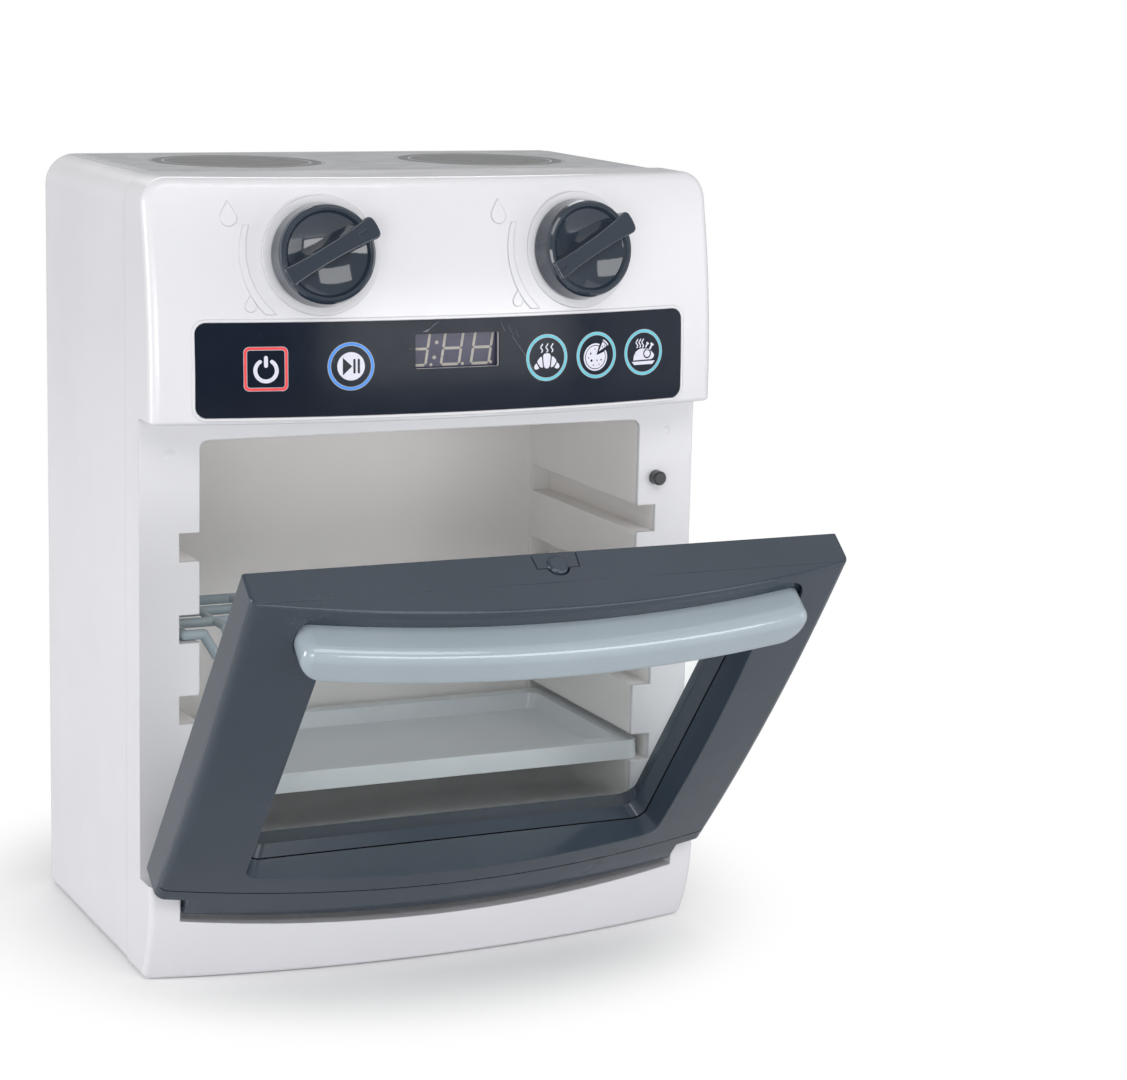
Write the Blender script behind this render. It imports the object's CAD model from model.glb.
# %% [markdown]
# # A toy oven, finished for the picture
#
# The oven's solids come from the CAD step: two white shells, a slate door with a clear pane, two
# knobs, a wire-style rack and a sunk tray. Here they get real plastics, the printed symbols of the
# control panel, soft light and the camera. Everything is in metres; +Z is up and the front looks
# along -Y.

# %% Load the solids
import math

import bpy
from mathutils import Matrix, Vector


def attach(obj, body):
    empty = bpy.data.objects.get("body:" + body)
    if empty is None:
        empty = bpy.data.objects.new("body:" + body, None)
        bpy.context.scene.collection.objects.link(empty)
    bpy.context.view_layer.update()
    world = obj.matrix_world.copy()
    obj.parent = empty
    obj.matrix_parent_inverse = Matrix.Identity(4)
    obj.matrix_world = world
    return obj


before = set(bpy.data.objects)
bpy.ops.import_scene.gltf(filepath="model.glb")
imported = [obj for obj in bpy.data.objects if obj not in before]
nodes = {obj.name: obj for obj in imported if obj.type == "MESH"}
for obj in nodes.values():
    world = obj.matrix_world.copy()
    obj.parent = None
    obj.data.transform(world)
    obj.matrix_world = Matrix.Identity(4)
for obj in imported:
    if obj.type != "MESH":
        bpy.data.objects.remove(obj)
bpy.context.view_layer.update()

MM = 0.001


# %% [markdown]
# ## The camera
#
# The photograph was taken with a long lens from the left and a little above. The numbers below
# come from fitting a camera to the oven's straight edges, so the model lands on the same pixels.
# A camera could also be turned by hand until it looks right, but a fitted one shows every wrong
# size at once.

# %% Place the camera
PHOTO_WIDTH, FOCAL_PIXELS, SENSOR_MM = 1127, 3022.25, 36.0
CAMERA_PLACE = (-0.5185, -1.3146, 0.4586)
yaw, pitch, roll = (math.radians(angle) for angle in (25.25, 11.12, 1.4))

back = Vector((-math.sin(yaw) * math.cos(pitch), -math.cos(yaw) * math.cos(pitch), math.sin(pitch)))
level = (-back).cross(Vector((0, 0, 1))).normalized()
upward = level.cross(-back)
right = math.cos(roll) * level + math.sin(roll) * upward
above = math.cos(roll) * upward - math.sin(roll) * level

bpy.ops.object.camera_add()
camera = bpy.context.object
camera.data.sensor_width = SENSOR_MM
camera.data.lens = SENSOR_MM * FOCAL_PIXELS / PHOTO_WIDTH
camera.data.clip_start, camera.data.clip_end = 0.05, 100.0
axes = Matrix((right, above, back)).transposed().to_4x4()
camera.matrix_world = Matrix.Translation(CAMERA_PLACE) @ axes
bpy.context.scene.camera = camera
bpy.context.scene.view_settings.view_transform = "Standard"
print("lens", round(camera.data.lens, 2), "mm")


# %% [markdown]
# ## Colours, sizes and nodes
#
# A material is a small network of nodes. Colours are written as the hex values one would pick from
# a swatch, and turned to the linear numbers that the renderer works with. Pattern sizes are given
# in millimetres. One function adds any node, sets its values and makes its links.

# %% Helpers for colours and sizes
def linear(hex_code):
    """An sRGB hex colour as linear red, green, blue and a full alpha."""
    channels = [int(hex_code[i:i + 2], 16) / 255 for i in (0, 2, 4)]
    return [c / 12.92 if c <= 0.04045 else ((c + 0.055) / 1.055) ** 2.4 for c in channels] + [1.0]


def per_metre(size_mm):
    """The scale of a pattern whose features are size_mm wide."""
    return 1000.0 / size_mm


print("the swatch 808080 is", round(linear("808080")[0], 3), "in linear numbers")


# %% Add a node, start a material
def add_node(tree, kind, sockets=None, links=None, **settings):
    """Adds one node, sets its properties and sockets, and links its inputs."""
    node = tree.nodes.new("ShaderNode" + kind)
    for name, value in settings.items():
        setattr(node, name, value)
    for name, value in (sockets or {}).items():
        node.inputs[name].default_value = value
    for name, source in (links or {}).items():
        tree.links.new(source, node.inputs[name])
    return node


def new_material(name):
    """An empty material with its shader, its output and the object's own coordinates."""
    material = bpy.data.materials.new(name)
    material.use_nodes = True
    tree = material.node_tree
    tree.nodes.clear()
    place = add_node(tree, "TexCoord").outputs["Object"]
    shader = add_node(tree, "BsdfPrincipled")
    add_node(tree, "OutputMaterial", links={"Surface": shader.outputs["BSDF"]})
    print("material", name)
    return material, tree, place, shader


# %% [markdown]
# Nothing moulded or printed is even all over. Its colour drifts a little where the melt or the ink
# ran thicker, and its gloss drifts where it has been handled. Both are soft clouds of a real size,
# so two functions make them for every finish below.

# %% Drifting colour and drifting gloss
def drifting_color(tree, place, size_mm, shade, color, detail=3.0, between=(0.3, 0.7)):
    """A darker swatch drifting into a lighter one, in clouds about size_mm wide."""
    clouds = add_node(tree, "TexNoise", {"Scale": per_metre(size_mm), "Detail": detail}, {"Vector": place})
    blend = add_node(tree, "ValToRGB", links={"Fac": clouds.outputs["Fac"]})
    for element, position, swatch in zip(blend.color_ramp.elements, between, (shade, color)):
        element.position, element.color = position, linear(swatch)
    return blend.outputs["Color"]


def drifting_value(tree, place, size_mm, low, high, detail=3.0, rough=0.5, between=(0.3, 0.7)):
    """A number drifting from low to high, in clouds about size_mm wide."""
    clouds = add_node(tree, "TexNoise", {"Scale": per_metre(size_mm), "Detail": detail, "Roughness": rough},
                      {"Vector": place})
    limits = {"From Min": between[0], "From Max": between[1], "To Min": low, "To Max": high}
    return add_node(tree, "MapRange", limits, {"Value": clouds.outputs["Fac"]}).outputs["Result"]


print("two kinds of drift ready")


# %% [markdown]
# ## The plastics
#
# Nearly all of the oven is ABS, a hard plastic that takes a high gloss from a polished mould. What
# the eye reads as plastic is a clear but slightly wobbly reflection: the skin shrinks a little over
# the ribs and is never quite flat. So each plastic gets a broad, very shallow swell, a faint orange
# peel, and a roughness that drifts with handling. The Bevel node rounds the edges in the light only,
# as a mould's edges are always a little soft; a real bevel would change the CAD's own meshes.

# %% One function for a moulded plastic
ABS_INDEX = 1.54
FLOW_WIDTH, SMEAR_WIDTH = 70.0, 38.0  # mm: the drift of colour, and of gloss
SWELL_WIDTH, SWELL = 35.0, 0.025  # mm across, and how strong
SPECK_FROM, SPECK_TO = 0.42, 0.5  # where the dust begins to show, and where it is full


def moulded(name, color, shade, rough, glow=0.0, peel_mm=1.4, peel=0.008, dust=0.0, edge_mm=0.3, gloss=0.0):
    """An injection-moulded plastic: flow-marked colour, faint orange peel, handling marks, soft edges."""
    material, tree, place, shader = new_material(name)
    tint = drifting_color(tree, place, FLOW_WIDTH, shade, color, 4.0, (0.35, 0.65))
    if dust:
        specks, patches = (
            add_node(tree, "TexNoise", {"Scale": per_metre(size), "Detail": detail, "Roughness": 0.6},
                     {"Vector": place}).outputs["Fac"] for size, detail in ((0.8, 2.0), (45.0, 3.0)))
        both = add_node(tree, "Math", links={0: specks, 1: patches}, operation="MULTIPLY").outputs[0]
        seen = add_node(tree, "MapRange", {"From Min": SPECK_FROM, "From Max": SPECK_TO, "To Max": dust},
                        {"Value": both})
        tint = add_node(tree, "Mix", {"B": linear("c9c9c6")}, {"Factor": seen.outputs["Result"], "A": tint},
                        data_type="RGBA").outputs["Result"]
    tree.links.new(tint, shader.inputs["Base Color"])
    tree.links.new(drifting_value(tree, place, SMEAR_WIDTH, *rough, 2.0), shader.inputs["Roughness"])
    normal = add_node(tree, "Bevel", {"Radius": edge_mm * MM}, samples=4).outputs["Normal"]
    for size, strength, depth in ((peel_mm, peel, 0.2 * MM), (SWELL_WIDTH, SWELL, 1.0 * MM)):
        height = add_node(tree, "TexNoise", {"Scale": per_metre(size), "Detail": 1.0}, {"Vector": place})
        normal = add_node(tree, "Bump", {"Strength": strength, "Distance": depth},
                          {"Height": height.outputs["Fac"], "Normal": normal}).outputs["Normal"]
    tree.links.new(normal, shader.inputs["Normal"])
    sockets = {"IOR": ABS_INDEX, "Coat Weight": gloss, "Coat Roughness": 0.04}
    if glow:
        sockets.update({"Subsurface Weight": glow, "Subsurface Radius": (1.0, 0.9, 0.8),
                        "Subsurface Scale": 1.5 * MM})
    for socket, value in sockets.items():
        shader.inputs[socket].default_value = value
    return material


# %% [markdown]
# Each plastic is one line: two swatches that drift into each other, the lowest and highest
# roughness, and what sets it apart. A glow is light that goes into the plastic and comes out again
# nearby, as it does in white and pale mouldings. The knobs and the handle were polished further, so
# they also get a coat, whose marks are small and bright.

# %% Make the plastics
# Glossy white shells, and a duller white inside, where the mould was not polished.
white_abs = moulded("white_abs_shell", "e5e5e9", "e2e2e6", (0.17, 0.24), glow=0.05, edge_mm=0.8)
liner_abs = moulded("white_abs_liner", "f4f1ef", "f0edeb", (0.3, 0.4), glow=0.05, edge_mm=0.8)
# Dark glossy slate shows every lamp, and the dust that settles on it.
slate_abs = moulded("slate_abs_door", "3a444f", "35404b", (0.1, 0.16), dust=0.1, edge_mm=0.8)
knob_abs = moulded("slate_abs_knob", "2f3945", "2a3440", (0.06, 0.1), dust=0.06, edge_mm=0.4, gloss=0.6)
# Pale blue grey: a bright line runs along the handle's ridge.
handle_abs = moulded("blue_grey_abs_handle", "acb8c0", "a6b2ba", (0.06, 0.1), glow=0.1, gloss=0.4)
# Polypropylene is waxier than ABS; the tray's thin polystyrene lets a little light through.
rack_pp = moulded("blue_grey_polypropylene_rack", "98a6ac", "8f9ea5", (0.2, 0.28))
tray_ps = moulded("smoky_polystyrene_tray", "d6dce0", "d0d6da", (0.16, 0.24), glow=0.15)
# Parts that only work: a satin pin, and a dull black inside.
plunger_pom = moulded("dark_acetal_pin", "35383b", "303336", (0.25, 0.35))
black_abs = moulded("black_abs_inner", "1b1c1e", "161719", (0.35, 0.5))


# %% [markdown]
# ### The door's parting lines
#
# The door is two mouldings screwed together, and where they meet there is a hairline gap that reads
# as black. A gap that fine is cheaper and cleaner as a dark line in the material: the two meeting
# planes are written in the door's own directions, and the pattern turns with the door. The upright
# line shows only inside the window; outside, the front frame's edge covers it.

# %% Measure a point from the door's hinge
DOOR_LEAN = math.radians(38.8)
HINGE = Vector((0, -81.5, 38.0)) * MM
PARTING_DEPTH, PARTING_HEIGHT, PARTING_HALF = -2.5 * MM, 17.9 * MM, 0.3 * MM
WINDOW_HALF, WINDOW_TOP = 100.0 * MM, 198.0 * MM

tree = slate_abs.node_tree
shader = next(node for node in tree.nodes if node.type == "BSDF_PRINCIPLED")
place = add_node(tree, "TexCoord").outputs["Object"]
from_hinge = add_node(tree, "VectorMath", {1: HINGE}, {0: place}, operation="SUBTRACT").outputs[0]
lean_cos, lean_sin = math.cos(DOOR_LEAN), math.sin(DOOR_LEAN)
inward, up = (add_node(tree, "VectorMath", {1: way}, {0: from_hinge}, operation="DOT_PRODUCT").outputs["Value"]
              for way in ((0, lean_cos, lean_sin), (0, -lean_sin, lean_cos)))
side = add_node(tree, "SeparateXYZ", links={"Vector": place}).outputs["X"]
print("parting lines at", PARTING_DEPTH, "m in and", PARTING_HEIGHT, "m up from the hinge")

# %% Draw the two lines into the slate
behind = add_node(tree, "Math", {1: PARTING_DEPTH, 2: PARTING_HALF}, {0: inward}, operation="COMPARE").outputs[0]
for limit, value, operation in (({1: PARTING_HEIGHT}, up, "GREATER_THAN"), ({1: WINDOW_TOP}, up, "LESS_THAN"),
                                ({1: 0.0, 2: WINDOW_HALF}, side, "COMPARE")):
    inside = add_node(tree, "Math", limit, {0: value}, operation=operation).outputs[0]
    behind = add_node(tree, "Math", links={0: behind, 1: inside}, operation="MULTIPLY").outputs[0]
below = add_node(tree, "Math", {1: PARTING_HEIGHT, 2: PARTING_HALF}, {0: up}, operation="COMPARE").outputs[0]
nearer = add_node(tree, "Math", {1: PARTING_DEPTH}, {0: inward}, operation="LESS_THAN").outputs[0]
below = add_node(tree, "Math", links={0: below, 1: nearer}, operation="MULTIPLY").outputs[0]
gap = add_node(tree, "Math", links={0: behind, 1: below}, operation="MAXIMUM").outputs[0]
slate = shader.inputs["Base Color"].links[0].from_socket
lined = add_node(tree, "Mix", {"B": linear("08090b")}, {"Factor": gap, "A": slate}, data_type="RGBA")
tree.links.new(lined.outputs["Result"], shader.inputs["Base Color"])
dull = add_node(tree, "MapRange", {"To Min": 0.5, "To Max": 0.0}, {"Value": gap}).outputs["Result"]
tree.links.new(dull, shader.inputs["Specular IOR Level"])
print("the lines are", 2 * PARTING_HALF, "m wide")


# %% [markdown]
# ## The clear pane
#
# The door's pane is a thin clear polystyrene sheet, nearly invisible from the front. A mix with a
# Transparent shader could do, but the shader's own transmission keeps a true reflection at an
# angle. Polystyrene has an index of 1.59; a lower one is used, so that the thin sheet hardly
# mirrors the lamps, as in the photograph. The faint haze, here and there, is handling.

# %% Make the pane
clear_ps, tree, place, shader = new_material("clear_polystyrene_pane")
for socket, value in {"Base Color": linear("f7fafa"), "Transmission Weight": 1.0, "IOR": 1.2}.items():
    shader.inputs[socket].default_value = value
tree.links.new(drifting_value(tree, place, 60.0, 0.0, 0.012, 4.0, 0.6, (0.4, 0.8)), shader.inputs["Roughness"])


# %% [markdown]
# ## The printed parts
#
# The control panel is a plastic film printed blue-black, a little scuffed. A film reflects weakly
# and evenly, so it reads as one dark field that the symbols stand on. Scuffs are a noise stretched
# along one direction, let through only where a second, wide noise is high.

# %% Make the panel film
SCUFF_WIDTH, SCUFF_STRETCH, SCUFF_TURN = 0.9, 0.06, 38  # mm, scale along the scuff, degrees
SCUFF_FROM, SCUFF_TO, SCUFF = 0.45, 0.49, 0.3  # where it begins to show, where it is full, how strong

film, tree, place, shader = new_material("black_printed_film")
shader.inputs["Specular IOR Level"].default_value = 0.16
stretched = add_node(tree, "Mapping", {"Rotation": (0, math.radians(SCUFF_TURN), 0),
                                       "Scale": (1.0, 1.0, SCUFF_STRETCH)}, {"Vector": place}).outputs["Vector"]
scuff = add_node(tree, "TexNoise", {"Scale": per_metre(SCUFF_WIDTH), "Roughness": 0.7}, {"Vector": stretched})
area = add_node(tree, "TexNoise", {"Scale": per_metre(26.0)}, {"Vector": place})
worn = add_node(tree, "Math", links={0: scuff.outputs["Fac"], 1: area.outputs["Fac"]}, operation="MULTIPLY")
mark = add_node(tree, "MapRange", {"From Min": SCUFF_FROM, "From Max": SCUFF_TO, "To Max": SCUFF},
                {"Value": worn.outputs[0]})
ink = drifting_color(tree, place, 40.0, "0f1826", "141e2d")
film_color = add_node(tree, "Mix", {"B": linear("6d7278")}, {"Factor": mark.outputs["Result"], "A": ink},
                      data_type="RGBA").outputs["Result"]
tree.links.new(film_color, shader.inputs["Base Color"])
tree.links.new(drifting_value(tree, place, 12.0, 0.13, 0.22, 5.0, 0.7), shader.inputs["Roughness"])
display_glass = moulded("smoked_display_window", "4b4b61", "424257", (0.1, 0.16))


# %% [markdown]
# The hob is a silver-printed plate with two dark burner rounds, each with a fine silver line inside
# its edge. A print has no height, so it is drawn in the material, with distances measured on the
# plate itself. Silver ink is fine flakes in a lacquer, which the eye reads as an even light grey
# with a weak gloss, so it isn't made a metal.

# %% Make the hob print
BURNERS = ((-62.0, 16.0), (60.0, 16.0))
BURNER_RADIUS, LINE_RADIUS, LINE_HALF = 39.2, 34.0, 0.48

hob_print, tree, place, shader = new_material("silver_printed_hob")
flat = add_node(tree, "VectorMath", {1: (1, 1, 0)}, {0: place}, operation="MULTIPLY").outputs[0]
rounds = []
for x, y in BURNERS:
    away = add_node(tree, "VectorMath", {1: (x * MM, y * MM, 0)}, {0: flat}, operation="DISTANCE").outputs["Value"]
    disc = add_node(tree, "Math", {1: BURNER_RADIUS * MM}, {0: away}, operation="LESS_THAN").outputs[0]
    line = add_node(tree, "Math", {1: LINE_RADIUS * MM, 2: LINE_HALF * MM}, {0: away}, operation="COMPARE").outputs[0]
    rounds.append(add_node(tree, "Math", links={0: disc, 1: line}, operation="SUBTRACT", use_clamp=True).outputs[0])
dark = add_node(tree, "Math", links={0: rounds[0], 1: rounds[1]}, operation="MAXIMUM").outputs[0]
silver = drifting_color(tree, place, 30.0, "c2c6cb", "ccd0d5", 4.0)
hob_color = add_node(tree, "Mix", {"B": linear("24272b")}, {"Factor": dark, "A": silver}, data_type="RGBA")
tree.links.new(hob_color.outputs["Result"], shader.inputs["Base Color"])
tree.links.new(drifting_value(tree, place, 15.0, 0.12, 0.24, 5.0, 0.7), shader.inputs["Roughness"])
shader.inputs["Coat Weight"].default_value, shader.inputs["Coat Roughness"].default_value = 0.2, 0.05


# %% [markdown]
# ## Metal, board and loudspeaker
#
# Behind the back wall sit the screws, contact plates, circuit board and loudspeaker. They are
# hardly seen, but they show in the opened model. Zinc plating is a metal with fine patches of dull
# and bright. The board's green mask is paler over the copper tracks, drawn as a grid of fine lines,
# and what stands out behind its back face are black chips. The cone is rough black paper.

# %% Make the inner materials
BOARD_BACK = -80.4 * MM
zinc, tree, place, shader = new_material("zinc_plated_steel")
shader.inputs["Metallic"].default_value = 1.0
tree.links.new(drifting_color(tree, place, 1.5, "a8a9a6", "bdbebb"), shader.inputs["Base Color"])
tree.links.new(drifting_value(tree, place, 0.6, 0.28, 0.42), shader.inputs["Roughness"])

board_green, tree, place, shader = new_material("green_solder_mask")
upright = add_node(tree, "Mapping", {"Rotation": (math.radians(90), 0, 0)}, {"Vector": place}).outputs["Vector"]
mask = {"Scale": per_metre(6.0), "Mortar Size": 0.03, "Color1": linear("0f5a34"), "Color2": linear("126139"),
        "Mortar": linear("2b8a52")}
tracks = add_node(tree, "TexBrick", mask, {"Vector": upright}).outputs["Color"]
depth = add_node(tree, "SeparateXYZ", links={"Vector": place}).outputs["Y"]
chip = add_node(tree, "Math", {1: BOARD_BACK + 0.05 * MM}, {0: depth}, operation="GREATER_THAN").outputs[0]
board_color = add_node(tree, "Mix", {"B": linear("1d1e20")}, {"Factor": chip, "A": tracks}, data_type="RGBA")
tree.links.new(board_color.outputs["Result"], shader.inputs["Base Color"])
tree.links.new(drifting_value(tree, place, 4.0, 0.3, 0.45), shader.inputs["Roughness"])

cone_paper = moulded("black_paper_cone", "202022", "17171a", (0.7, 0.85), peel_mm=0.5, peel=0.3)


# %% [markdown]
# ## Each solid in its finish
#
# A solid from the CAD step keeps its mesh and only changes what fills its material slots. Listing
# the solids finish by finish, and then asking which has none, makes it hard to forget one.

# %% Give every solid its material
def wear(material, *names):
    for name in names:
        for slot in nodes[name].material_slots:
            slot.material = material


wear(white_abs, "front_shell", "rear_housing", "battery_cover")
wear(liner_abs, "cavity_liner")
wear(hob_print, "hob_plate")
wear(film, "control_overlay")
wear(display_glass, "display_module")
wear(slate_abs, "door_front_frame", "door_rear_frame", "catch_button")
wear(knob_abs, "left_knob", "right_knob")
wear(handle_abs, "door_handle")
wear(clear_ps, "door_pane")
wear(rack_pp, "rack")
wear(tray_ps, "tray")
wear(plunger_pom, "switch_plunger")
wear(black_abs, "battery_bay", "door_switch")
wear(cone_paper, "speaker")
wear(board_green, "main_board")
wear(zinc, *[name for name in nodes if "screw" in name or "washer" in name or "contact" in name])
bare = [name for name, node in nodes.items() if not all(slot.material for slot in node.material_slots)]
print("solids without a finish:", bare)


# %% [markdown]
# ## Printed symbols
#
# The symbols on the control panel are silk-screened ink: flat shapes with crisp edges that follow
# the film's curve. They could be drawn with maths in the film's material, but as thin pieces of
# their own they stay crisp at any size and can be recoloured. Each starts as outlines in
# millimetres, seen from the front: x to the right and z up.

# %% Outlines: rounds, bands and strokes
def circle(radius, x=0.0, z=0.0, count=72):
    turns = [2 * math.pi * i / count for i in range(count)]
    return [(x + radius * math.cos(turn), z + radius * math.sin(turn)) for turn in turns]


def round_end(x, z, half, start, way):
    """The points of a half round about (x, z), from the angle start, turning left (1) or right (-1)."""
    turns = [start + way * math.pi * i / 8 for i in range(1, 8)]
    return [(x + half * math.cos(turn), z + half * math.sin(turn)) for turn in turns]


def arc_band(outer, inner, start, end):
    """A part of a ring, from one angle to another, its ends rounded."""
    angles = [math.radians(start + (end - start) * i / 48) for i in range(49)]
    middle, half, first, last = (outer + inner) / 2, (outer - inner) / 2, angles[0], angles[-1]
    path = [(outer * math.cos(angle), outer * math.sin(angle)) for angle in angles]
    path += round_end(middle * math.cos(last), middle * math.sin(last), half, last, 1)
    path += [(inner * math.cos(angle), inner * math.sin(angle)) for angle in reversed(angles)]
    return path + round_end(middle * math.cos(first), middle * math.sin(first), half, first + math.pi, 1)


def stroke(points, width):
    """A ribbon of one width along a line of points, with round ends."""
    half, left, right_side, ends = width / 2, [], [], []
    for i, (x, z) in enumerate(points):
        (x0, z0), (x1, z1) = points[max(i - 1, 0)], points[min(i + 1, len(points) - 1)]
        length = math.hypot(x1 - x0, z1 - z0)
        nx, nz = -(z1 - z0) / length * half, (x1 - x0) / length * half
        left.append((x + nx, z + nz))
        right_side.append((x - nx, z - nz))
    for (x, z), (before_x, before_z) in ((points[-1], points[-2]), (points[0], points[1])):
        facing = math.atan2(z - before_z, x - before_x)
        ends.append(round_end(x, z, half, facing + math.pi / 2, -1))
    return left + ends[0] + right_side[::-1] + ends[1]


print("a round has", len(circle(1)), "points")


# %% [markdown]
# Screen inks are matt epoxy colours: thick, even and dull enough to stay readable when the film
# around them shines. The segments and the scratches get inks of their own, because they take the
# light in the same dull way.

# %% Mix the inks
def ink_material(name, color, shade):
    material, tree, place, shader = new_material(name)
    tree.links.new(drifting_color(tree, place, 2.5, shade, color), shader.inputs["Base Color"])
    tree.links.new(drifting_value(tree, place, 5.0, 0.3, 0.42), shader.inputs["Roughness"])
    return material


white_ink = ink_material("white_screen_ink", "e4e4f2", "dcdcea")
pale_ink = ink_material("pale_edge_ink", "b4bcc4", "a9b1ba")
red_ink = ink_material("red_screen_ink", "fa4448", "f03c42")
blue_ink = ink_material("blue_screen_ink", "3f92f2", "388ae8")
cyan_ink = ink_material("cyan_screen_ink", "62cadb", "5ac0d2")
segment_ink = ink_material("unlit_segment_ink", "b3aea5", "a8a39b")
scratch_mark = ink_material("scratched_film", "6f757e", "5c626b")


# %% [markdown]
# The outlines become a filled flat curve, the curve becomes a mesh, and the mesh is turned upright
# in front of the panel. A curve fills outlines with holes by itself, which a hand-built mesh would
# need cuts for.

# %% Fill outlines as a flat mesh
IN_FRONT = -0.14


def flat_piece(name, outlines, x, z):
    """A filled flat mesh from closed outlines in mm round (x, z), upright in front of the panel."""
    bpy.ops.object.select_all(action="DESELECT")
    curve = bpy.data.curves.new(name, "CURVE")
    curve.dimensions, curve.fill_mode = "2D", "BOTH"
    for outline in outlines:
        spline = curve.splines.new("POLY")
        spline.points.add(len(outline) - 1)
        for point, (point_x, point_z) in zip(spline.points, outline):
            point.co = ((x + point_x) * MM, (z + point_z) * MM, 0, 1)
        spline.use_cyclic_u = True
    piece = bpy.data.objects.new(name, curve)
    bpy.context.scene.collection.objects.link(piece)
    piece.select_set(True)
    bpy.context.view_layer.objects.active = piece
    bpy.ops.object.convert(target="MESH")
    piece.rotation_euler, piece.location = (math.radians(90), 0, 0), (0, IN_FRONT, 0)
    bpy.ops.object.transform_apply(location=True, rotation=True, scale=True)
    return piece


print("flat pieces start", IN_FRONT, "m in depth")


# %% [markdown]
# A Shrinkwrap modifier then pushes each point back along the depth axis until it meets the film,
# and Solidify gives the ink its body. The film is bowed, so drawing on it directly would need every
# point worked out in depth.

# %% Wrap the ink onto the panel
INK_LIFT, INK_BODY = 0.05 * MM, 0.08 * MM


def apply_modifier(piece, kind, **settings):
    modifier = piece.modifiers.new(kind.title(), kind)
    for name, value in settings.items():
        setattr(modifier, name, value)
    bpy.ops.object.modifier_apply(modifier=modifier.name)


def print_symbol(name, outlines, x, z, ink, target="control_overlay"):
    """One ink shape, wrapped onto the target solid."""
    piece = flat_piece(name, outlines, x, z)
    apply_modifier(piece, "SHRINKWRAP", target=nodes[target], wrap_method="PROJECT", use_project_x=False,
                   use_project_y=True, use_project_z=False, use_positive_direction=True,
                   use_negative_direction=False, offset=INK_LIFT, wrap_mode="ABOVE_SURFACE")
    apply_modifier(piece, "SOLIDIFY", thickness=INK_BODY, offset=0.0)
    bpy.ops.object.mode_set(mode="EDIT")
    bpy.ops.mesh.select_all(action="SELECT")
    bpy.ops.mesh.normals_make_consistent(inside=False)
    bpy.ops.object.mode_set(mode="OBJECT")
    piece.data.materials.append(ink)
    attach(piece, "cabinet")
    print(name, "has", len(piece.data.polygons), "faces")


print("the ink is", INK_BODY, "m thick")


# %% [markdown]
# ### Power and play
#
# Both keys stand in a coloured frame, a rounded square and a ring. The coloured ink was laid over
# a slightly wider pale one, so a pale hairline runs along both of its edges. The frame's outline is
# therefore a function of how far it is stepped in.

# %% Print the power and play keys
RING_RADIUS, LINE_WIDTH, HAIRLINE = 10.5, 1.35, 0.24  # mm
SQUARE_HALF, SQUARE_CORNER = 9.6, 2.5


def framed(name, shape, x, z, ink):
    """A coloured line with a pale hairline along both edges; shape(step) is the outline stepped in."""
    print_symbol(name, [shape(HAIRLINE), shape(LINE_WIDTH)], x, z, ink)
    edges = [shape(0), shape(HAIRLINE), shape(LINE_WIDTH), shape(LINE_WIDTH + HAIRLINE)]
    print_symbol(name + "_edges", edges, x, z, pale_ink)


def ring(step):
    return circle(RING_RADIUS - step)


def key_square(step):
    half, corner, path = SQUARE_HALF - step, SQUARE_CORNER - 0.8 * step, []
    for quarter, (sx, sz) in enumerate(((1, 1), (-1, 1), (-1, -1), (1, -1))):
        for angle in (math.pi / 2 * (quarter + i / 8) for i in range(9)):
            path.append((sx * (half - corner) + corner * math.cos(angle),
                         sz * (half - corner) + corner * math.sin(angle)))
    return path


framed("power_frame", key_square, -86.6, 277.2, red_ink)
print_symbol("power_mark", [arc_band(5.45, 3.75, 124, 416), stroke([(0, 2.1), (0, 5.5)], 1.7)], -86.6, 276.5,
             white_ink)
framed("play_ring", ring, -49.4, 277.7, blue_ink)
play_hole = [(-3.7, -3.9), (0.5, 0.0), (-3.7, 3.8)]
bars = [stroke([(x, -2.7), (x, 2.7)], 1.05) for x in (1.5, 3.45)]
print_symbol("play_mark", [circle(6.15), play_hole, *bars], -49.4, 277.7, white_ink)


# %% [markdown]
# ### The three programmes
#
# The three programme marks are a crescent roll, a pie with a slice drawn out, and a roast on its
# dish, each with plain shapes of its own. Where two outlines of one mark overlap, the inner one
# becomes a hole, which gives the toppings and the dark line round the leg.

# %% Draw the crescent roll
def mirrored(path):
    return [(-x, z) for x, z in reversed(path)]


def steam(x, z, height):
    """A wavy wisp, drawn as one and a quarter waves."""
    points = [(x + 0.45 * math.sin(i / 12 * 2 * math.pi * 1.25), z + height * i / 12) for i in range(13)]
    return stroke(points, 0.55)


middle_lobe = [(-1.95, 0.9), (-1.3, 1.75), (0, 2.0), (1.3, 1.75), (1.95, 0.9), (1.5, -3.6), (0.9, -4.6),
               (0, -4.9), (-0.9, -4.6), (-1.5, -3.6)]
side_lobe = [(2.6, 0.5), (3.4, 0.3), (4.5, -0.9), (4.9, -1.9), (3.4, -4.0), (2.6, -4.4), (2.0, -4.3)]
tip_lobe = [(5.3, -2.3), (6.2, -3.2), (6.5, -4.2), (5.9, -5.1), (4.9, -5.1), (3.9, -4.6)]
roll_parts = [middle_lobe, side_lobe, mirrored(side_lobe), tip_lobe, mirrored(tip_lobe)]
roll_parts += [steam(x, 2.5, 3.6) for x in (-2.7, 0.0, 2.6)]
print("the roll has", len(roll_parts), "outlines")


# %% Draw the pie
def moved(path, x, z, turn=0.0, size=1.0):
    c, s = math.cos(math.radians(turn)) * size, math.sin(math.radians(turn)) * size
    return [(x + px * c - pz * s, z + px * s + pz * c) for px, pz in path]


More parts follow.
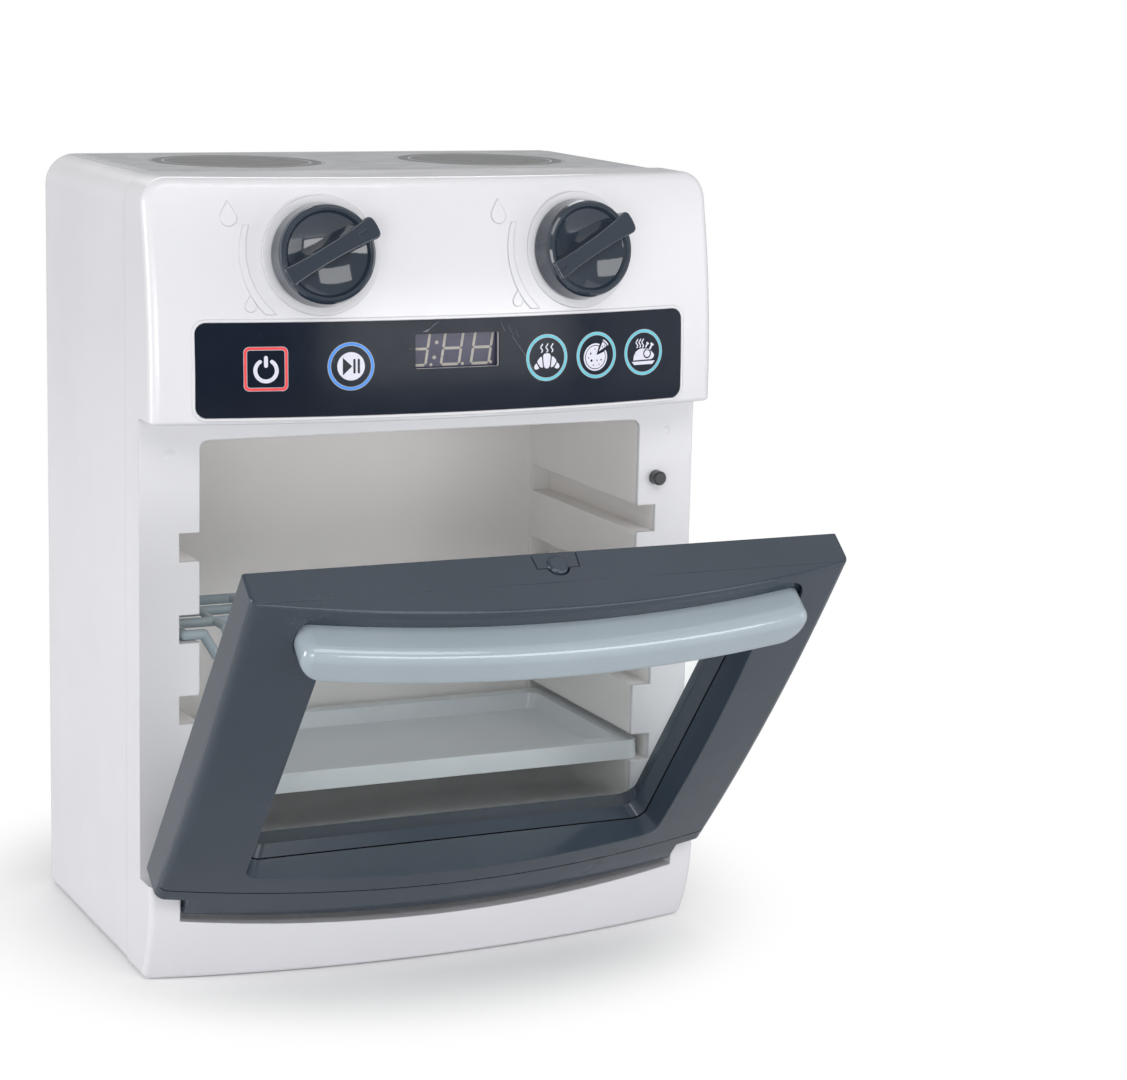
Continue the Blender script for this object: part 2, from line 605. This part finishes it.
def wedge(radius, start, end, apex=(0.0, 0.0)):
    """A slice of a round, from one angle to another."""
    turns = [math.radians(start + (end - start) * i / 40) for i in range(41)]
    return [apex] + [(radius * math.cos(turn), radius * math.sin(turn)) for turn in turns]


toppings = [(-2.1, -1.5, 0.6), (-2.5, 1.7, 0.45), (0.9, -1.5, 0.35), (3.0, -1.3, 0.4), (-1.1, -3.6, 0.35),
            (-3.6, -0.2, 0.3), (-0.3, 3.6, 0.3), (1.9, -3.3, 0.28)]
pie_parts = [arc_band(6.2, 5.45, 72, 386), wedge(5.1, 70, 386, (0.5, 0.8))]
pie_parts += [circle(radius, x, z, 20) for x, z, radius in toppings]
slice_parts = [wedge(4.6, 30, 66), circle(0.3, 1.7, 2.0, 16), circle(0.3, 2.9, 2.5, 16),
               arc_band(5.75, 5.1, 32, 64)]
pie_parts = [moved(part, -0.5, -0.9) for part in pie_parts] + [moved(part, 1.4, 1.6) for part in slice_parts]
print("the pie has", len(pie_parts), "outlines")

# %% Draw the roast, and print all three
dish = [(-6.4, -4.1), (6.4, -4.1), (5.0, -5.6), (-5.0, -5.6)]
bird = [(-5.5, -3.5), (-5.3, -1.6), (-4.2, 0.4), (-2.6, 1.4), (-0.8, 1.8), (1.4, 1.5), (3.4, 0.9), (5.2, -0.3),
        (6.0, -1.5), (5.6, -2.7), (4.4, -3.4)]
leg_gap, leg = circle(2.2, 2.1, -0.7, 28), circle(1.55, 2.1, -0.7, 28)
half_bone = [(-0.45, 0), (-0.45, 2.0), (-1.0, 2.5), (-0.7, 3.2), (0, 2.9)]
bone = half_bone + mirrored(half_bone)[1:]
bird_parts = [dish, bird, leg_gap, leg, moved(bone, 3.5, 1.2, -32), moved(bone, 1.2, 2.1, -32, 0.85)]
bird_parts += [steam(x, 2.3, 3.7) for x in (-3.6, -2.0, -0.4)]

for word, x, z, parts in (("roll", 43.7, 278.3, roll_parts), ("pie", 69.5, 278.2, pie_parts),
                          ("roast", 95.1, 278.1, bird_parts)):
    framed(f"{word}_ring", ring, x, z, cyan_ink)
    print_symbol(f"{word}_mark", parts, x, z, white_ink)


# %% [markdown]
# The toy has been played with: a few fine scratches cross the film beside the display. Noise could
# scatter such marks, but these few are hair-thin ribbons, placed by hand where the photograph shows
# them.

# %% Scratch the film
SCRATCH_WIDTH = 0.14  # mm
scratches = [[(-16.5, 291.8), (-13.0, 293.2), (-9.0, 296.2)], [(-14.6, 291.8), (-10.3, 295.6)],
             [(-23.0, 284.7), (-21.0, 284.5), (-19.8, 285.2)], [(20.6, 295.3), (22.8, 290.8)],
             [(24.4, 293.8), (26.8, 288.8), (28.2, 291.4), (29.4, 288.2)],
             [(26.5, 288.4), (32.0, 281.0), (36.5, 274.0), (40.0, 267.6)]]
print_symbol("film_scratches", [stroke(line, SCRATCH_WIDTH) for line in scratches], 0.0, 0.0, scratch_mark)


# %% [markdown]
# ### The display
#
# The display shows unlit figure-eight digits. A seven-segment digit is seven long hexagons, leaning
# a little to the right, so one hexagon is drawn and set seven times. The left digit runs a little
# way behind the opening's edge, as it does on the real panel.

# %% Draw the digits
DIGIT_WIDTH, DIGIT_HEIGHT, SEGMENT, SEGMENT_GAP = 8.5, 14.3, 1.2, 0.35  # mm
DIGIT_LEAN = math.tan(math.radians(8))
DISPLAY_Z = 283.8


def bar_segment(x, z, length, upright_bar):
    half, end = SEGMENT / 2, length / 2
    shape = [(-end, 0), (-end + half, half), (end - half, half), (end, 0), (end - half, -half),
             (-end + half, -half)]
    if upright_bar:
        shape = [(-b, a) for a, b in shape]
    return [(x + a + DIGIT_LEAN * (z + b), z + b) for a, b in shape]


def digit():
    w, h = DIGIT_WIDTH / 2, DIGIT_HEIGHT / 2
    across = [bar_segment(0, z, DIGIT_WIDTH - SEGMENT_GAP, False) for z in (-h, 0, h)]
    return across + [bar_segment(x, z, h - SEGMENT_GAP, True) for x in (-w, w) for z in (-h / 2, h / 2)]


for number, x in enumerate((-16.9, -1.0, 13.3), 1):
    print_symbol(f"digit_{number}", digit(), x, DISPLAY_Z, segment_ink, "display_module")
dots = [(0.85, -8.4, 2.7), (0.85, -9.5, -3.9), (0.7, -11.0, -7.1), (0.7, 4.0, -7.1), (0.7, 17.6, -6.8)]
print_symbol("display_dots", [circle(radius, x, z, 20) for radius, x, z in dots], 0.0, DISPLAY_Z, segment_ink,
             "display_module")


# %% [markdown]
# ## Floor, backdrop and light
#
# The object stands on a wide pale floor that fades to plain white, like a sweep of studio paper.
# The photograph is a cut-out, so the camera sees plain white round the oven, while the light that the
# floor throws back is that of a light grey table: a white one would light the door from below, which
# the photograph doesn't show. The room gives a weak, even base light.

# %% Lay the floor
FLOOR_SIZE, FLOOR_DROP = 120, 0.2 * MM
OVEN_MIDDLE = (0, 0.02, 0)
WHITE_FROM, WHITE_TO = 0.12, 0.23  # the paper turns to plain white between these distances, in metres


def camera_sees(tree):
    """1 for what the camera sees, straight or through the pane, and 0 for light on its way."""
    rays = add_node(tree, "LightPath").outputs
    return add_node(tree, "Math", links={0: rays["Is Camera Ray"], 1: rays["Is Transmission Ray"]},
                    operation="MAXIMUM").outputs[0]


bpy.ops.object.select_all(action="DESELECT")
bpy.ops.mesh.primitive_plane_add(size=FLOOR_SIZE, location=(0, 0, -FLOOR_DROP))
floor = bpy.context.object
floor.name = "studio_floor"
floor_paper, tree, place, shader = new_material("white_studio_paper")
seen = camera_sees(tree)
paper = add_node(tree, "Mix", {"A": linear("dcdcde"), "B": linear("fafafa")}, {"Factor": seen}, data_type="RGBA")
tree.links.new(paper.outputs["Result"], shader.inputs["Base Color"])
shader.inputs["Roughness"].default_value, shader.inputs["Specular IOR Level"].default_value = 0.9, 0.1
glow = add_node(tree, "Emission", {"Color": linear("ffffff"), "Strength": 1.0})
away = add_node(tree, "VectorMath", {1: OVEN_MIDDLE}, {0: place}, operation="DISTANCE").outputs["Value"]
far = add_node(tree, "MapRange", {"From Min": WHITE_FROM, "From Max": WHITE_TO}, {"Value": away},
               interpolation_type="SMOOTHERSTEP").outputs["Result"]
white = add_node(tree, "Math", links={0: seen, 1: far}, operation="MULTIPLY").outputs[0]
blend = add_node(tree, "MixShader", links={0: white, 1: shader.outputs["BSDF"], 2: glow.outputs["Emission"]})
output = next(node for node in tree.nodes if node.type == "OUTPUT_MATERIAL")
tree.links.new(blend.outputs["Shader"], output.inputs["Surface"])
floor.data.materials.append(floor_paper)

# %% Fill the room with a weak light
ROOM_LIGHT = 0.36
world = bpy.data.worlds.new("studio_room")
bpy.context.scene.world = world
world.use_nodes = True
tree = world.node_tree
tree.nodes.clear()
strength = add_node(tree, "MapRange", {"To Min": ROOM_LIGHT, "To Max": 1.0}, {"Value": camera_sees(tree)})
room = add_node(tree, "Background", {"Color": linear("ffffff")}, {"Strength": strength.outputs["Result"]})
add_node(tree, "OutputWorld", links={"Surface": room.outputs["Background"]})
print("the room gives", ROOM_LIGHT, "of full white")


# %% [markdown]
# ### The lamps
#
# A glossy toy shows its lamps as marks, so where they stand is chosen by the marks. A large box
# high in front is the key and makes the marks in the knobs. Two low ones in front reach into the
# oven and draw the bright line along the handle, and others stand at the right, the left, above
# and behind, to keep every side readable.

# %% Place the lamps
def soft_lamp(name, place, aim, width, height, power):
    """A rectangular lamp of so many metres and watts, turned to the point that it aims at."""
    bpy.ops.object.light_add(type="AREA", location=place)
    lamp = bpy.context.object
    lamp.name = name
    lamp.data.shape, lamp.data.size, lamp.data.size_y = "RECTANGLE", width, height
    lamp.data.energy = power
    lamp.rotation_euler = (Vector(aim) - Vector(place)).to_track_quat("-Z", "Y").to_euler()


soft_lamp("key_lamp", (-0.05, -2.0, 1.9), (0, 0, 0.15), 1.9, 1.1, 18.5)
soft_lamp("front_lamp", (-1.2, -1.7, 0.35), (0, 0, 0.12), 1.0, 0.6, 8.5)
soft_lamp("long_lamp", (0.7, -1.8, 0.3), (0, 0, 0.13), 1.1, 0.45, 7.0)
soft_lamp("fill_lamp", (1.5, -1.0, 0.4), (0, 0, 0.1), 1.0, 0.8, 4.0)
soft_lamp("strip_lamp", (-1.65, 0.1, 0.4), (0, 0, 0.1), 0.5, 0.8, 10.5)
soft_lamp("top_lamp", (0.5, -0.1, 1.4), (0, 0, 0.2), 0.9, 0.9, 1.0)
soft_lamp("rear_lamp", (0.2, 1.4, 1.3), (0, 0, 0.2), 1.4, 0.8, 8.0)
print(len(bpy.data.lights), "lamps stand round the oven")
